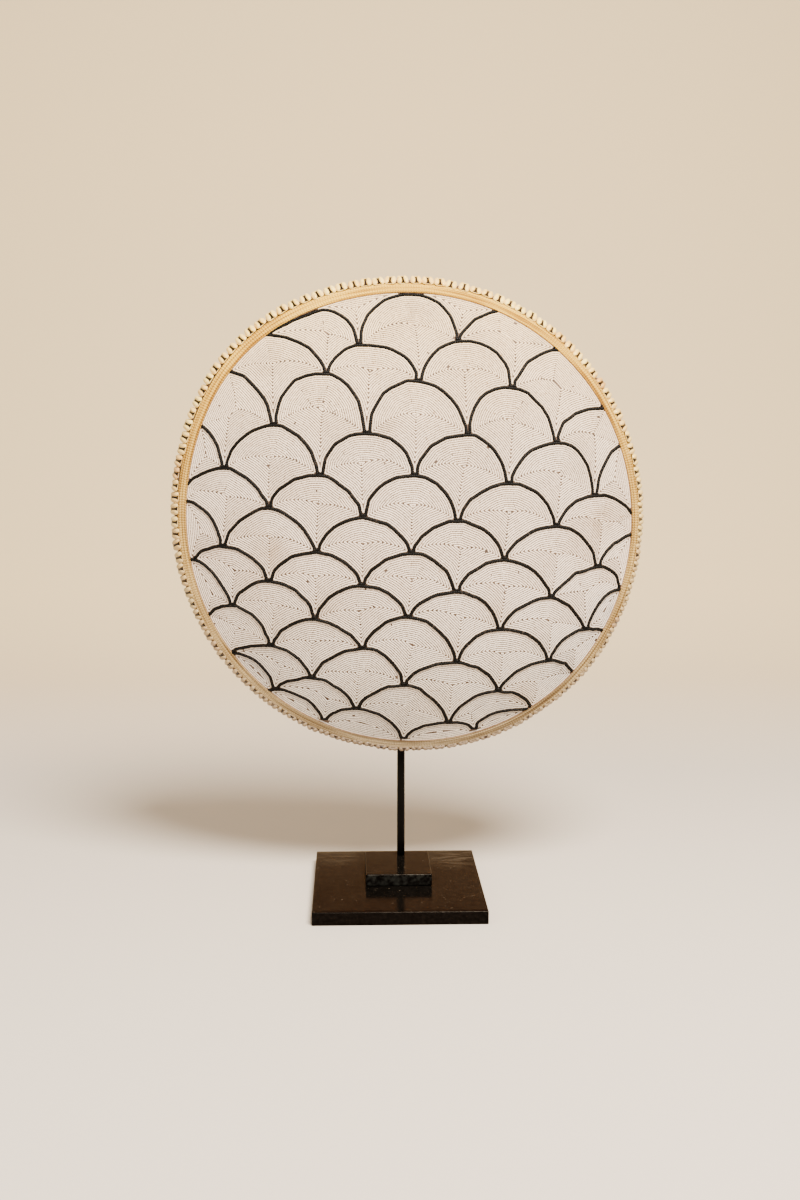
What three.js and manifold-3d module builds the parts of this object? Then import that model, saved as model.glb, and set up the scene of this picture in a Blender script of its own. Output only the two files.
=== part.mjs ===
// A round beaded shield on its stand, in millimetres, +Z up, front towards -Y.
// The origin is the middle of the base plate's underside.
import * as THREE from "three";
import { mergeVertices } from "three/addons/utils/BufferGeometryUtils.js";
import Module from "manifold-3d";

const wasm = await Module();
wasm.setup();

// Driving dimensions of the stand
const PLATE = { width: 168, depth: 193, thick: 13, corner: 1.5, bevel: 0.8 };
const BLOCK = { width: 66, depth: 78, thick: 12, corner: 1, bevel: 0.8, x: 1, y: 17 };
const ROD = { radius: 4, sides: 12, x: 5, y: 43 };
const HOOK = { radius: 3.9, sides: 10, bendSteps: 4, tip: 22, overlap: 4 };
const GAP = 0.3;

// Driving dimensions of the shield
const SHIELD = { x: 12.8, z: 375.5, dome: 52, curve: 2.2, wall: 6, segments: 69 };
const BAND = { radius: 227.4, taller: 0.5, halfWidth: 4.15, front: 2.5, back: 12.5 };
const BAND_WIDER = { top: 0.35, left: 0.25 };
const SWELLS = [
  { at: 316, by: 7.9, spread: 26 },
  { at: 140, by: 3.7, spread: 35 },
];
const SHELLS = { count: 122, reach: 5.2, front: 2, back: 13, fullest: 7, between: 0.35 };
const SHELLS_LONGER = { top: 2.3, left: 0.9 };
const SLAT = { z: 40, height: 18, front: 6.8, thick: 5, corner: 1.2 };
const STRAND = { halfWidth: 1.7, height: 1.9, pointed: 1.8, steps: 3, sink: 1.5, lift: 0.5 };
const FIELD = { front: 100, back: 30 };

// The black strings meet at these joints, [x, z] from the shield's middle, row under row.
// Each scale spans two joints of its row and peaks at the joint above, and the joints
// outside the band only steer the strings that run under it.
const JOINTS = [
  [[-86, 208], [3, 223], [94, 209]],
  [[-141, 184], [-50, 173], [46, 177], [145, 170]],
  [[-178, 147], [-82, 145], [7, 138], [99, 132], [194, 113]],
  [[-216, 98], [-133, 96], [-43, 88], [54, 87], [143, 79], [220, 79]],
  [[-256, 53], [-183, 54], [-88, 48], [3, 48], [95, 40], [183, 27], [260, 26]],
  [[-229, 17], [-138, 16], [-47, 8], [45, 4], [143, -2], [227, -15]],
  [[-271, -24], [-186, -23], [-92, -26], [0, -27], [91, -34], [187, -44], [264, -45]],
  [[-217, -37], [-139, -56], [-48, -59], [44, -65], [139, -73], [214, -68]],
  [[-259, -83], [-177, -82], [-94, -93], [-3, -90], [88, -104], [177, -108], [245, -109]],
  [[-199, -93], [-138, -122], [-48, -122], [45, -137], [140, -139], [200, -113]],
  [[-180, -132], [-98, -155], [-7, -161], [89, -169], [168, -154]],
  [[-221, -169], [-135, -169], [-53, -187], [39, -203], [125, -191]],
  [[-183, -203], [-87, -204], [-6, -224], [67, -214], [184, -217]],
];

// Worked out from the dimensions above
const RIM_Y = ROD.y - ROD.radius - 0.4 - BAND.back;
const BLOCK_BOTTOM = PLATE.thick + GAP;
const ROD_BOTTOM = BLOCK_BOTTOM + BLOCK.thick + GAP;
const HOOK_Y = RIM_Y + SLAT.front - GAP - ROD.radius;
const HOOK_BEND = (ROD.y - HOOK_Y) / 2;
const HOOK_START = SHIELD.z + SLAT.z - SLAT.height / 2 - 2 * HOOK_BEND;

// Angles run clockwise from the top, as seen from the front.
function radians(degrees) {
  return (degrees * Math.PI) / 180;
}

function swelling(angle) {
  let sum = 0;
  for (const swell of SWELLS) {
    const turn = angle - radians(swell.at);
    const away = Math.atan2(Math.sin(turn), Math.cos(turn)) / radians(swell.spread);
    sum += swell.by * Math.exp(-away * away);
  }
  return sum;
}

function bandRadius(angle) {
  return BAND.radius + BAND.taller * Math.cos(2 * angle) + swelling(angle);
}

function bandHalfWidth(angle) {
  const top = BAND_WIDER.top * Math.cos(angle);
  return BAND.halfWidth + top - BAND_WIDER.left * Math.sin(angle);
}

function fieldRadius(angle) {
  return bandRadius(angle) - bandHalfWidth(angle) - GAP;
}

// How far the shells stand out past the band: most at the top, least at the bottom.
function shellReach(angle) {
  const top = SHELLS_LONGER.top * Math.cos(angle);
  return SHELLS.reach + top - SHELLS_LONGER.left * Math.sin(angle);
}

function domeHeight(x, z) {
  const share = Math.min(1, Math.hypot(x, z) / fieldRadius(Math.atan2(x, z)));
  return SHIELD.dome * (1 - share ** SHIELD.curve);
}

function domeNormal(x, z) {
  const step = 0.5;
  const slopeX = (domeHeight(x + step, z) - domeHeight(x - step, z)) / (2 * step);
  const slopeZ = (domeHeight(x, z + step) - domeHeight(x, z - step)) / (2 * step);
  return new THREE.Vector3(-slopeX, -1, -slopeZ).normalize();
}

// Solids and meshes
function solid(geometry) {
  const bare = geometry.clone();
  bare.deleteAttribute("normal");
  bare.deleteAttribute("uv");
  const merged = mergeVertices(bare, 1e-4);
  return new wasm.Manifold(
    new wasm.Mesh({
      numProp: 3,
      vertProperties: new Float32Array(merged.attributes.position.array),
      triVerts: new Uint32Array(merged.index.array),
    }),
  );
}

function geometryOf(manifold) {
  const made = manifold.getMesh();
  const geometry = new THREE.BufferGeometry();
  geometry.setAttribute("position", new THREE.BufferAttribute(made.vertProperties, 3));
  geometry.setIndex(new THREE.BufferAttribute(made.triVerts, 1));
  return geometry;
}

function mesh(name, geometry, color, roughness, metalness) {
  const flat = geometry.index ? geometry.toNonIndexed() : geometry;
  flat.computeVertexNormals();
  const material = new THREE.MeshStandardMaterial({ color, roughness, metalness });
  const made = new THREE.Mesh(flat, material);
  made.name = name;
  return made;
}

// A lathed ring or dish whose unit radius is stretched to the shield's own outline.
function lathed(profile, segments, radiusAt) {
  const points = profile.map(([radius, y]) => new THREE.Vector2(radius, y));
  const geometry = new THREE.LatheGeometry(points, segments);
  const position = geometry.attributes.position;
  for (let i = 0; i < position.count; i += 1) {
    const x = position.getX(i);
    const z = position.getZ(i);
    const angle = Math.atan2(x, z);
    const radius = radiusAt(angle, Math.hypot(x, z));
    position.setX(i, radius * Math.sin(angle));
    position.setZ(i, radius * Math.cos(angle));
  }
  return geometry;
}

// The dished body: out along the front, round the edge and back to the axis behind.
function shieldBody() {
  const shares = [0, 0.18, 0.36, 0.53, 0.68, 0.81, 0.92, 1];
  const backShares = [1, 0.88, 0.7, 0.48, 0.24, 0];
  const height = (share) => SHIELD.dome * (1 - share ** SHIELD.curve);
  const front = shares.map((share) => [share, -height(share)]);
  const back = backShares.map((share) => [share, SHIELD.wall - height(share)]);
  const profile = [...front, ...back];
  return lathed(profile, SHIELD.segments, (angle, share) => share * fieldRadius(angle));
}

// Ring sections are drawn round this radius and moved to their true one afterwards.
const MIDDLE = 2;

// The bound band: a section with soft front corners, in shares of half width and depth.
function rimBand() {
  const depth = BAND.back + BAND.front;
  const section = [[-1, 0.16], [-0.5, 0], [0.5, 0], [1, 0.16], [1, 1], [-1, 1]];
  const profile = section.map(([across, along]) => [MIDDLE + across, along * depth - BAND.front]);
  profile.push(profile[0]);
  return lathed(profile, SHIELD.segments, (angle, radius) =>
    bandRadius(angle) + (radius - MIDDLE) * bandHalfWidth(angle));
}

// The shells side by side: each has two full lips, and neighbours touch low down
// between them. A share of 1 is a shell's full reach past the band.
const PLACES = [SHELLS.between, 1, 1];
function cowrieRing() {
  const profile = [
    [MIDDLE, -SHELLS.front],
    [MIDDLE + 0.88, 0.5 - SHELLS.front],
    [MIDDLE + 1, SHELLS.fullest],
    [MIDDLE, SHELLS.back],
    [MIDDLE, -SHELLS.front],
  ];
  const segments = SHELLS.count * PLACES.length;
  return lathed(profile, segments, (angle, radius) => {
    const station = Math.round((angle / (2 * Math.PI)) * segments + segments);
    const share = (radius - MIDDLE) * PLACES[station % PLACES.length];
    const inner = bandRadius(angle) + bandHalfWidth(angle) + GAP;
    return inner + share * shellReach(angle);
  });
}

// A string of beads that lies on the dome: its frames follow the dome's normal.
class DomePath extends THREE.Curve {
  constructor(points) {
    super();
    this.points = points;
  }

  getPoint(t, target = new THREE.Vector3()) {
    const place = t * (this.points.length - 1);
    const first = Math.min(Math.floor(place), this.points.length - 2);
    return target.lerpVectors(this.points[first], this.points[first + 1], place - first);
  }

  getPointAt(u, target) {
    return this.getPoint(u, target);
  }

  computeFrenetFrames(steps) {
    const frames = { tangents: [], normals: [], binormals: [] };
    for (let i = 0; i <= steps; i += 1) {
      const here = this.points[i];
      const before = this.points[Math.max(0, i - 1)];
      const after = this.points[Math.min(steps, i + 1)];
      const tangent = after.clone().sub(before).normalize();
      const across = domeNormal(here.x, here.z).cross(tangent).normalize();
      frames.tangents.push(tangent);
      frames.normals.push(across);
      frames.binormals.push(tangent.clone().cross(across));
    }
    return frames;
  }
}

// A bent rod's path in a plane of constant x.
class BentPath extends DomePath {
  computeFrenetFrames(steps) {
    const frames = { tangents: [], normals: [], binormals: [] };
    for (let i = 0; i <= steps; i += 1) {
      const before = this.points[Math.max(0, i - 1)];
      const after = this.points[Math.min(steps, i + 1)];
      const tangent = after.clone().sub(before).normalize();
      const across = new THREE.Vector3(1, 0, 0);
      frames.tangents.push(tangent);
      frames.normals.push(across);
      frames.binormals.push(tangent.clone().cross(across));
    }
    return frames;
  }
}

function onDome(x, z, lift) {
  return new THREE.Vector3(x, -domeHeight(x, z), z).addScaledVector(domeNormal(x, z), lift);
}

// One half of a scale's arch, from its joint up to its peak.
function halfArch(joint, peak) {
  const points = [];
  for (let i = 0; i <= STRAND.steps; i += 1) {
    const turn = (i / STRAND.steps) * (Math.PI / 2);
    const out = Math.cos(turn) ** (2 / STRAND.pointed);
    const up = Math.sin(turn) ** (2 / STRAND.pointed);
    points.push([
      peak[0] + (joint[0] - peak[0]) * out,
      joint[1] + (peak[1] - joint[1]) * up,
    ]);
  }
  return points;
}

function strandSolid(points) {
  const wide = STRAND.halfWidth;
  const section = new THREE.Shape([
    new THREE.Vector2(-wide, 0),
    new THREE.Vector2(wide, 0),
    new THREE.Vector2(0, STRAND.height),
  ]);
  const path = new DomePath(points.map(([x, z]) => onDome(x, z, STRAND.lift)));
  const steps = points.length - 1;
  return solid(
    new THREE.ExtrudeGeometry(section, { steps, bevelEnabled: false, extrudePath: path }),
  );
}

// The net: every arch of every row, cut off where it meets the band.
function scaleOutlines() {
  const strands = [];
  for (let row = 1; row < JOINTS.length; row += 1) {
    for (let i = 0; i + 1 < JOINTS[row].length; i += 1) {
      const left = JOINTS[row][i];
      const right = JOINTS[row][i + 1];
      const peak = JOINTS[row - 1].find(([x]) => x > left[0] && x < right[0]);
      const low = ([x, z]) => [x, z - STRAND.sink];
      const rise = halfArch(low(left), low(peak));
      const fall = halfArch(low(right), low(peak)).reverse();
      strands.push(strandSolid([...rise, ...fall.slice(1)]));
    }
  }
  const walls = [[0, -FIELD.front], [1, -FIELD.front], [1, FIELD.back], [0, FIELD.back]];
  const field = solid(
    lathed(walls, SHIELD.segments, (angle, share) => share * (fieldRadius(angle) - GAP)),
  );
  const net = strands.reduce((sum, strand) => sum.add(strand)).intersect(field);
  const bodies = net.decompose();
  bodies.sort((one, other) => other.volume() - one.volume());
  return geometryOf(bodies[0]);
}

// How far along X the band's inside is from the middle, at a height z.
function reachAt(z, side) {
  let x = side * BAND.radius;
  for (let i = 0; i < 20; i += 1) {
    const limit = fieldRadius(Math.atan2(x, z));
    x = side * Math.sqrt(limit * limit - z * z);
  }
  return x;
}

function roundedRectangle(width, height, corner) {
  const x = width / 2;
  const y = height / 2;
  const shape = new THREE.Shape();
  shape.moveTo(-x + corner, -y);
  shape.lineTo(x - corner, -y);
  shape.quadraticCurveTo(x, -y, x, -y + corner);
  shape.lineTo(x, y - corner);
  shape.quadraticCurveTo(x, y, x - corner, y);
  shape.lineTo(-x + corner, y);
  shape.quadraticCurveTo(-x, y, -x, y - corner);
  shape.lineTo(-x, -y + corner);
  shape.quadraticCurveTo(-x, -y, -x + corner, -y);
  return shape;
}

// The lath across the open back, from one side of the band to the other.
function backSlat() {
  const left = reachAt(SLAT.z + SLAT.height / 2, -1) + GAP;
  const right = reachAt(SLAT.z + SLAT.height / 2, 1) - GAP;
  const shape = roundedRectangle(SLAT.thick, SLAT.height, SLAT.corner);
  const geometry = new THREE.ExtrudeGeometry(shape, {
    depth: right - left,
    bevelEnabled: false,
    curveSegments: 2,
  });
  // The section's x runs along +Y and its y along +Z, so that the lath's length is along +X.
  geometry.applyMatrix4(
    new THREE.Matrix4().makeBasis(
      new THREE.Vector3(0, 1, 0),
      new THREE.Vector3(0, 0, 1),
      new THREE.Vector3(1, 0, 0),
    ),
  );
  geometry.translate(left, SLAT.front + SLAT.thick / 2, SLAT.z);
  return geometry;
}

// A bevelled slab that lies flat, with its underside at z = 0.
function slab({ width, depth, thick, corner, bevel }) {
  const shape = roundedRectangle(width - 2 * bevel, depth - 2 * bevel, corner);
  const geometry = new THREE.ExtrudeGeometry(shape, {
    depth: thick - 2 * bevel,
    bevelEnabled: true,
    bevelThickness: bevel,
    bevelSize: bevel,
    bevelSegments: 1,
    curveSegments: 2,
  });
  geometry.translate(0, 0, bevel);
  return geometry;
}

// The rod: straight up behind the band, then a double bend whose tip holds the lath.
function standRod() {
  const length = HOOK_START + HOOK.overlap - ROD_BOTTOM;
  const straight = new THREE.CylinderGeometry(ROD.radius, ROD.radius, length, ROD.sides);
  straight.rotateX(Math.PI / 2);
  straight.translate(ROD.x, ROD.y, ROD_BOTTOM + length / 2);
  const points = [new THREE.Vector3(ROD.x, ROD.y, HOOK_START - HOOK.overlap)];
  for (let i = 0; i <= HOOK.bendSteps; i += 1) {
    const turn = (i / HOOK.bendSteps) * (Math.PI / 2);
    const y = ROD.y - HOOK_BEND * (1 - Math.cos(turn));
    points.push(new THREE.Vector3(ROD.x, y, HOOK_START + HOOK_BEND * Math.sin(turn)));
  }
  for (let i = 1; i <= HOOK.bendSteps; i += 1) {
    const turn = (i / HOOK.bendSteps) * (Math.PI / 2);
    const y = HOOK_Y + HOOK_BEND * (1 - Math.sin(turn));
    const z = HOOK_START + HOOK_BEND * (2 - Math.cos(turn));
    points.push(new THREE.Vector3(ROD.x, y, z));
  }
  points.push(new THREE.Vector3(ROD.x, HOOK_Y, HOOK_START + 2 * HOOK_BEND + HOOK.tip));
  const section = new THREE.Shape();
  section.absarc(0, 0, HOOK.radius, 0, 2 * Math.PI);
  const corners = section.getSpacedPoints(HOOK.sides).slice(0, HOOK.sides);
  const hook = new THREE.ExtrudeGeometry(new THREE.Shape(corners), {
    steps: points.length - 1,
    bevelEnabled: false,
    extrudePath: new BentPath(points),
  });
  return geometryOf(solid(straight).add(solid(hook)));
}

// The shield hangs as one group behind which the stand rises.
const shield = new THREE.Group();
shield.position.set(SHIELD.x, RIM_Y, SHIELD.z);
shield.add(mesh("shield_body", shieldBody(), 0xe2d6c6, 0.55, 0));
shield.add(mesh("scale_outlines", scaleOutlines(), 0x14100e, 0.35, 0));
shield.add(mesh("rim_band", rimBand(), 0xd8b98c, 0.7, 0));
shield.add(mesh("cowrie_ring", cowrieRing(), 0xf0e2c6, 0.4, 0));
shield.add(mesh("back_slat", backSlat(), 0xb08a5a, 0.7, 0));

const plate = mesh("base_plate", slab(PLATE), 0x33251a, 0.3, 0.3);
const block = mesh("base_block", slab(BLOCK), 0x2c2119, 0.35, 0.3);
block.position.set(BLOCK.x, BLOCK.y, BLOCK_BOTTOM);
const rod = mesh("stand_rod", standRod(), 0x121110, 0.35, 0.5);

const beadedShield = new THREE.Group();
beadedShield.add(plate, block, rod, shield);

export default beadedShield;
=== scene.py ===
# A round beaded shield on its stand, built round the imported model.
# Sizes are in millimetres and new_piece turns them into metres. The shield's own
# drawings are in its rim plane: x to the right and z up, seen from the front, from its
# middle, with +y towards its back. Angles start at the top and run clockwise.
import math

import bmesh
import bpy
import numpy as np
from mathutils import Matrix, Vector, kdtree, noise


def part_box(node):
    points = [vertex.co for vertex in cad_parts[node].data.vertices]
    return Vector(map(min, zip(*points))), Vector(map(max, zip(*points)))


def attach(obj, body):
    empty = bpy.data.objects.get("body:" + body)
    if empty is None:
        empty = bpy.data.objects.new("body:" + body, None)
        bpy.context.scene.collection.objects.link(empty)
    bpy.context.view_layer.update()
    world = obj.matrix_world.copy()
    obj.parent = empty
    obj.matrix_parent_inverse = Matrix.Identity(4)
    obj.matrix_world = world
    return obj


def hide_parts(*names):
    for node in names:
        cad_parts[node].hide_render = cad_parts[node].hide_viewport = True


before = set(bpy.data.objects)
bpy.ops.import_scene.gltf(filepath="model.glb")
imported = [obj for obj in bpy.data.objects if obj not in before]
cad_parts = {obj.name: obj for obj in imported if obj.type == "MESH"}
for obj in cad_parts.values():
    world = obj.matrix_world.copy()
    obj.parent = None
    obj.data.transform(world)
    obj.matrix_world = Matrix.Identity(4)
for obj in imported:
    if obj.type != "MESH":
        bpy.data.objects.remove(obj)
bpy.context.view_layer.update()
dice = np.random.default_rng(7)
noise.seed_set(7)

# Driving dimensions of the shield
MIDDLE = np.array([12.8, 26.1, 375.5])
DOME = 52.0
DOME_CURVE = 2.2
WALL = 6.0
COILS = 27
COIL_GROOVE = 1.1
BAND_RADIUS = 227.4
BAND_TALLER = 0.5
BAND_HALF_WIDTH = 4.15
BAND_WIDER = {"top": 0.35, "left": 0.25}
BAND_FRONT = 2.5
BAND_BACK = 12.5
BAND_STRANDS = 6
BAND_RIPPLE = 0.28
BAND_CROWN = 0.8
GAP = 0.3

# How much further back the band's outer edge lies than its inner one
BAND_SLOPE = 1.5

# Where the outline swells: angle, height and spread, the angles in degrees
SWELLS = [(316, 7.9, 26), (140, 3.7, 35)]

# The dark stitched line inside the band, which also paints the shadow line where the beadwork
# meets the band: how far outside the beads and in front of the rim plane it runs, and its waves
EDGE_SHADE_THREAD = {"radius": 0.48, "out": 0.1, "front": 0.9, "wave": 0.12, "waves": 150}

# The shells round the band. The further one reaches out, the more it leans, and its slot
# is filled up to the first reach of SHELL_STANDS and open from the second one on.
# A filled slot is still painted dark, as painted shade.
SHELLS = 122
SHELL_FIRST = 1.2
SHELL_REACH = 5.2
SHELL_LONGER = {"top": 2.3, "left": 0.9}
SHELL_PROUD = {"all": 0.9, "sides": 0.9, "low": 0.9}
SHELL_LEAN = {"reach": [2.9, 7.6], "degrees": [8, 37]}
SHELL_STANDS = [4.6, 6.8]
SHELL_STRAY = {"turn": 0.0012, "lean": 3, "out": 0.25, "twist": 4, "size": 0.03}

# Driving dimensions of the beadwork
WHITE_RADIUS = 0.95
WHITE_LENGTH = 1.56
WHITE_STRAY = 0.05
WHITE_PIECES = 4
LOST_RUNS = 26
BLACK_RADIUS = 1.54
BLACK_LENGTH = 1.8
BLACK_LIFT = 0.35

# A run takes one more bead where at most this share of the bead's length is missing
TIGHT = 0.25

# A white row goes on until another border is nearer than its own by more than its slack,
# which is the first number and up to the second more
ROW_PITCH = 2.1
ROW_SLACK = [0.05, 0.35]
BAND_BORDER = 0.1

# Each half arch is a quarter turn of a few points, its cosine and sine raised to the powers
# "out" and "up", and "up" grows by up to "up_more" towards the lowest row. It ends SINK
# under the joint at its peak, and its foot is within FOOT of a lower joint.
ARCH = {"points": 9, "stray": 0.05, "out": 1.05, "up": 1.1, "up_more": 0.25}
SINK = 1.5
FOOT = [1.3, 2.9]
UNEVEN = 0.45
PATH_STEP = 0.5
ROUNDINGS = 10

# Cross rows of black beads at a joint: half width, and height over it. The strings run on
# under the band, and the cross rows stop short of it.
FOOT_ROWS = [(2.4, 0.5)]
STRINGS_UNDER_BAND = 0.6
FEET_FROM_BAND = 0.4

# The black strings meet at these joints, [x, z] from the shield's middle, row under row.
# Each scale spans two joints of its row and peaks at the joint above, and the joints
# outside the band only steer the strings that run under it.
JOINTS = [
    [(-86, 208), (3, 223), (94, 209)],
    [(-141, 184), (-50, 173), (46, 177), (145, 170)],
    [(-180, 149), (-82, 145), (7, 138), (99, 132), (194, 113)],
    [(-216, 98), (-133, 96), (-43, 88), (54, 87), (143, 79), (220, 79)],
    [(-256, 53), (-183, 54), (-88, 48), (3, 48), (95, 40), (183, 27), (260, 26)],
    [(-232, 22), (-138, 16), (-47, 8), (45, 4), (143, -2), (232, -12)],
    [(-271, -24), (-186, -23), (-92, -26), (0, -27), (91, -34), (187, -44), (264, -45)],
    [(-217, -37), (-139, -56), (-48, -59), (44, -65), (139, -73), (214, -68)],
    [(-259, -83), (-177, -82), (-94, -93), (-3, -90), (88, -104), (177, -108), (245, -109)],
    [(-205, -98), (-138, -122), (-48, -122), (45, -137), (140, -139), (200, -113)],
    [(-180, -132), (-98, -155), (-7, -161), (89, -169), (168, -154)],
    [(-221, -169), (-135, -169), (-53, -187), (39, -203), (125, -191)],
    [(-183, -203), (-86, -201.5), (-6, -221.5), (66.5, -212), (184, -217)],
]

# How full each arch was laid, left half and right half, row under row from the second row
# of joints: over 1 is fuller than a plain arch, and under 1 is flatter
FULLNESS = [
    [(0.22, 1.05), (1.3, 1.15), (0.82, 1)],
    [(1, 1), (0.9, 1.35), (0.88, 1.35), (0.86, 1)],
    [(1, 0.88), (1.4, 1.07), (1.25, 1), (1.42, 0.97), (1.4, 1)],
    [(1, 1), (1, 1), (1.25, 1.18), (1.18, 1), (1.1, 1.28), (1, 1)],
    [(0.85, 0.78), (1.15, 0.8), (1.22, 1), (1, 1), (1, 1.2)],
    [(1, 1.22), (0.9, 0.8), (1, 0.94), (1, 1), (1, 1), (1, 1)],
    [(0.85, 1), (1, 0.99), (1, 1), (1, 0.9), (0.75, 1.25)],
    [(1, 0.75), (1, 1), (1.05, 1.05), (1, 1), (1, 0.72), (1, 0.86)],
    [(1, 1), (0.94, 0.67), (1, 1), (1.1, 1.1), (1, 1.15)],
    [(1, 0.9), (0.92, 1.12), (1.2, 0.95), (1, 1)],
    [(1, 1.25), (1, 0.88), (1, 0.93), (1, 1.1)],
    [(1, 1.15), (1, 1), (1.18, 1.2), (1.6, 1)],
]

# Brown stains and greyer patches on the beads, the grey ones mostly low down: [x, z] and size in
# millimetres, and strength
BEAD_PATCHES = {
    "brown_stain": [
        (-141, -29, 16, 0.75), (192, 1, 13, 0.8), (-46, -53, 10, 0.45), (41, -129, 12, 0.5),
        (-24, 92, 9, 0.6), (-44, 88, 8, 0.5), (-27, 70, 8, 0.4), (2, 206, 24, 0.5),
        (53, 184, 16, 0.4), (-140, 152, 15, 0.5), (-137, 114, 11, 0.5), (-184, 74, 12, 0.45),
        (130, 172, 12, 0.55), (-84, -86, 12, 0.35), (86, -87, 15, 0.35), (112, -180, 14, 0.6),
        (8, -34, 10, 0.3)],
    "grey_stain": [
        (203, -87, 16, 0.75), (150, -148, 26, 0.45), (182, -112, 18, 0.5),
        (-150, -152, 26, 0.35), (90, -190, 26, 0.4), (-30, -205, 30, 0.35),
        (-90, -188, 26, 0.3), (-205, -20, 14, 0.3)],
}

# Driving dimensions of the stand and the lath. Dusty corners are a place and how far the
# dust reaches, in metres.
PLATE = {"middle": (0, 0, 6.5), "size": (168, 193, 13), "round": 0.9}
DUSTY_CORNERS = [((-0.064, 0.083, 0.013), 0.042), ((0.064, 0.074, 0.013), 0.046)]
BLOCK = {"middle": (1, 17, 19.3), "size": (66, 78, 12), "round": 1.1}
ROD = {"x": 5, "y": 43, "radius": 3.95, "bottom": 25.6}
SLAT = {"z": 40, "height": 18, "front": 6.8, "thick": 5, "round": 1.3}
HOOK = {"bend": 7.2, "tip": 22}

# The cord round the lath. Its loops that cross on the rod, and those round the lath's
# ends, are given by half their height and half their depth.
CORD = {"radius": 0.75, "pitch": 1.6, "crossed": (14.0, 8.0), "round": (10.2, 3.6)}

# The camera, in metres and degrees
EYE = {"place": (-0.0436, -1.3791, 0.4720), "turned": (82.837, -0.088, -1.896), "lens": 42.17}


# The shield's outline and dome
def swelling(angle):
    total = 0.0
    for at, by, spread in SWELLS:
        turn = angle - math.radians(at)
        away = np.arctan2(np.sin(turn), np.cos(turn)) / math.radians(spread)
        total = total + by * np.exp(-away * away)
    return total


def band_radius(angle):
    return BAND_RADIUS + BAND_TALLER * np.cos(2 * angle) + swelling(angle)


def band_half_width(angle):
    wider = BAND_WIDER["top"] * np.cos(angle) - BAND_WIDER["left"] * np.sin(angle)
    return BAND_HALF_WIDTH + wider


def field_radius(angle):
    return band_radius(angle) - band_half_width(angle) - GAP


def shell_reach(angle):
    longer = SHELL_LONGER["top"] * np.cos(angle) - SHELL_LONGER["left"] * np.sin(angle)
    return SHELL_REACH + longer


def dome_height(share):
    return DOME * (1 - np.clip(share, 0, 1) ** DOME_CURVE)


def on_dome(flat):
    """Points [x, z] of the rim plane, lifted onto the front of the dome."""
    angle = np.arctan2(flat[:, 0], flat[:, 1])
    share = np.hypot(flat[:, 0], flat[:, 1]) / field_radius(angle)
    return np.stack([flat[:, 0], -dome_height(share), flat[:, 1]], axis=1)


def dome_normals(flat):
    step = 0.5
    across = on_dome(flat + [step, 0]) - on_dome(flat - [step, 0])
    upward = on_dome(flat + [0, step]) - on_dome(flat - [0, step])
    return unit(np.cross(across, upward))


def unit(vectors):
    return vectors / np.linalg.norm(vectors, axis=-1, keepdims=True)


# The dome's skin laid flat, so that beads keep their spacing where it slopes
SHARES = np.linspace(0, 1.25, 500)
SLOPES = DOME * DOME_CURVE * SHARES ** (DOME_CURVE - 1) / (BAND_RADIUS - BAND_HALF_WIDTH)
STRETCH = np.sqrt(1 + SLOPES ** 2)
LAID = np.concatenate([[0], np.cumsum((STRETCH[1:] + STRETCH[:-1]) / 2 * np.diff(SHARES))])


def changed_radius(flat, before, after):
    angle = np.arctan2(flat[:, 0], flat[:, 1])
    edge = field_radius(angle)
    radius = np.hypot(flat[:, 0], flat[:, 1])
    new = edge * np.interp(radius / edge, before, after)
    return flat * (new / np.maximum(radius, 1e-6))[:, None]


def laid_flat(flat):
    return changed_radius(flat, SHARES, LAID)


def put_back(flat):
    return changed_radius(flat, LAID, SHARES)


# Paths
def whole_turn(count):
    return np.linspace(0, 2 * math.pi, count, endpoint=False)


def lengths_along(path):
    steps = np.linalg.norm(np.diff(path, axis=0), axis=1)
    return np.concatenate([[0], np.cumsum(steps)])


def points_at(path, along, places):
    return np.stack([np.interp(places, along, path[:, i]) for i in range(2)], 1)


def resampled(path):
    along = lengths_along(path)
    count = max(2, int(round(along[-1] / PATH_STEP)) + 1)
    return points_at(path, along, np.linspace(0, along[-1], count))


def softened(path):
    """Rounds the corners of an evenly spaced path, and keeps its two ends."""
    for _ in range(ROUNDINGS):
        path[1:-1] = (path[:-2] + 2 * path[1:-1] + path[2:]) / 4
    return path


def runs_of(mask):
    """First and last index of every unbroken run that the mask keeps."""
    edges = np.diff(np.concatenate([[0], mask.astype(int), [0]]))
    return list(zip(np.where(edges == 1)[0], np.where(edges == -1)[0] - 1))


def half_arch(joint, peak, side, openness, fullness):
    """From the foot beside a joint up to the peak, in a few hand-laid stretches."""
    turns = np.linspace(0, math.pi / 2, ARCH["points"])
    turns[1:-1] += dice.uniform(-ARCH["stray"], ARCH["stray"], ARCH["points"] - 2)
    out = np.cos(turns) ** ARCH["out"]
    up = np.sin(turns) ** openness
    bulge = (fullness - 1) * (out + up - 1) / 2
    foot = joint[0] + side * dice.uniform(*FOOT)
    x = peak[0] + (foot - peak[0]) * (out + bulge)
    z = joint[1] + (peak[1] - SINK - joint[1]) * (up + bulge)
    path = np.stack([x, z], axis=1)
    path[1:-1] += dice.normal(0, UNEVEN, (ARCH["points"] - 2, 2))
    return path


def string_paths():
    """Every arch of the net, in evenly spaced points. They run on under the band."""
    paths = []
    for row in range(1, len(JOINTS)):
        openness = ARCH["up"] + ARCH["up_more"] * row / len(JOINTS)
        for place, (left, right) in enumerate(zip(JOINTS[row][:-1], JOINTS[row][1:])):
            peak = next(p for p in JOINTS[row - 1] if left[0] < p[0] < right[0])
            rising, falling = FULLNESS[row - 1][place]
            rise = half_arch(left, peak, 1, openness, rising)
            fall = half_arch(right, peak, -1, openness, falling)[::-1]
            paths.append(softened(resampled(np.concatenate([rise, fall[1:]]))))
    return paths


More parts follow.
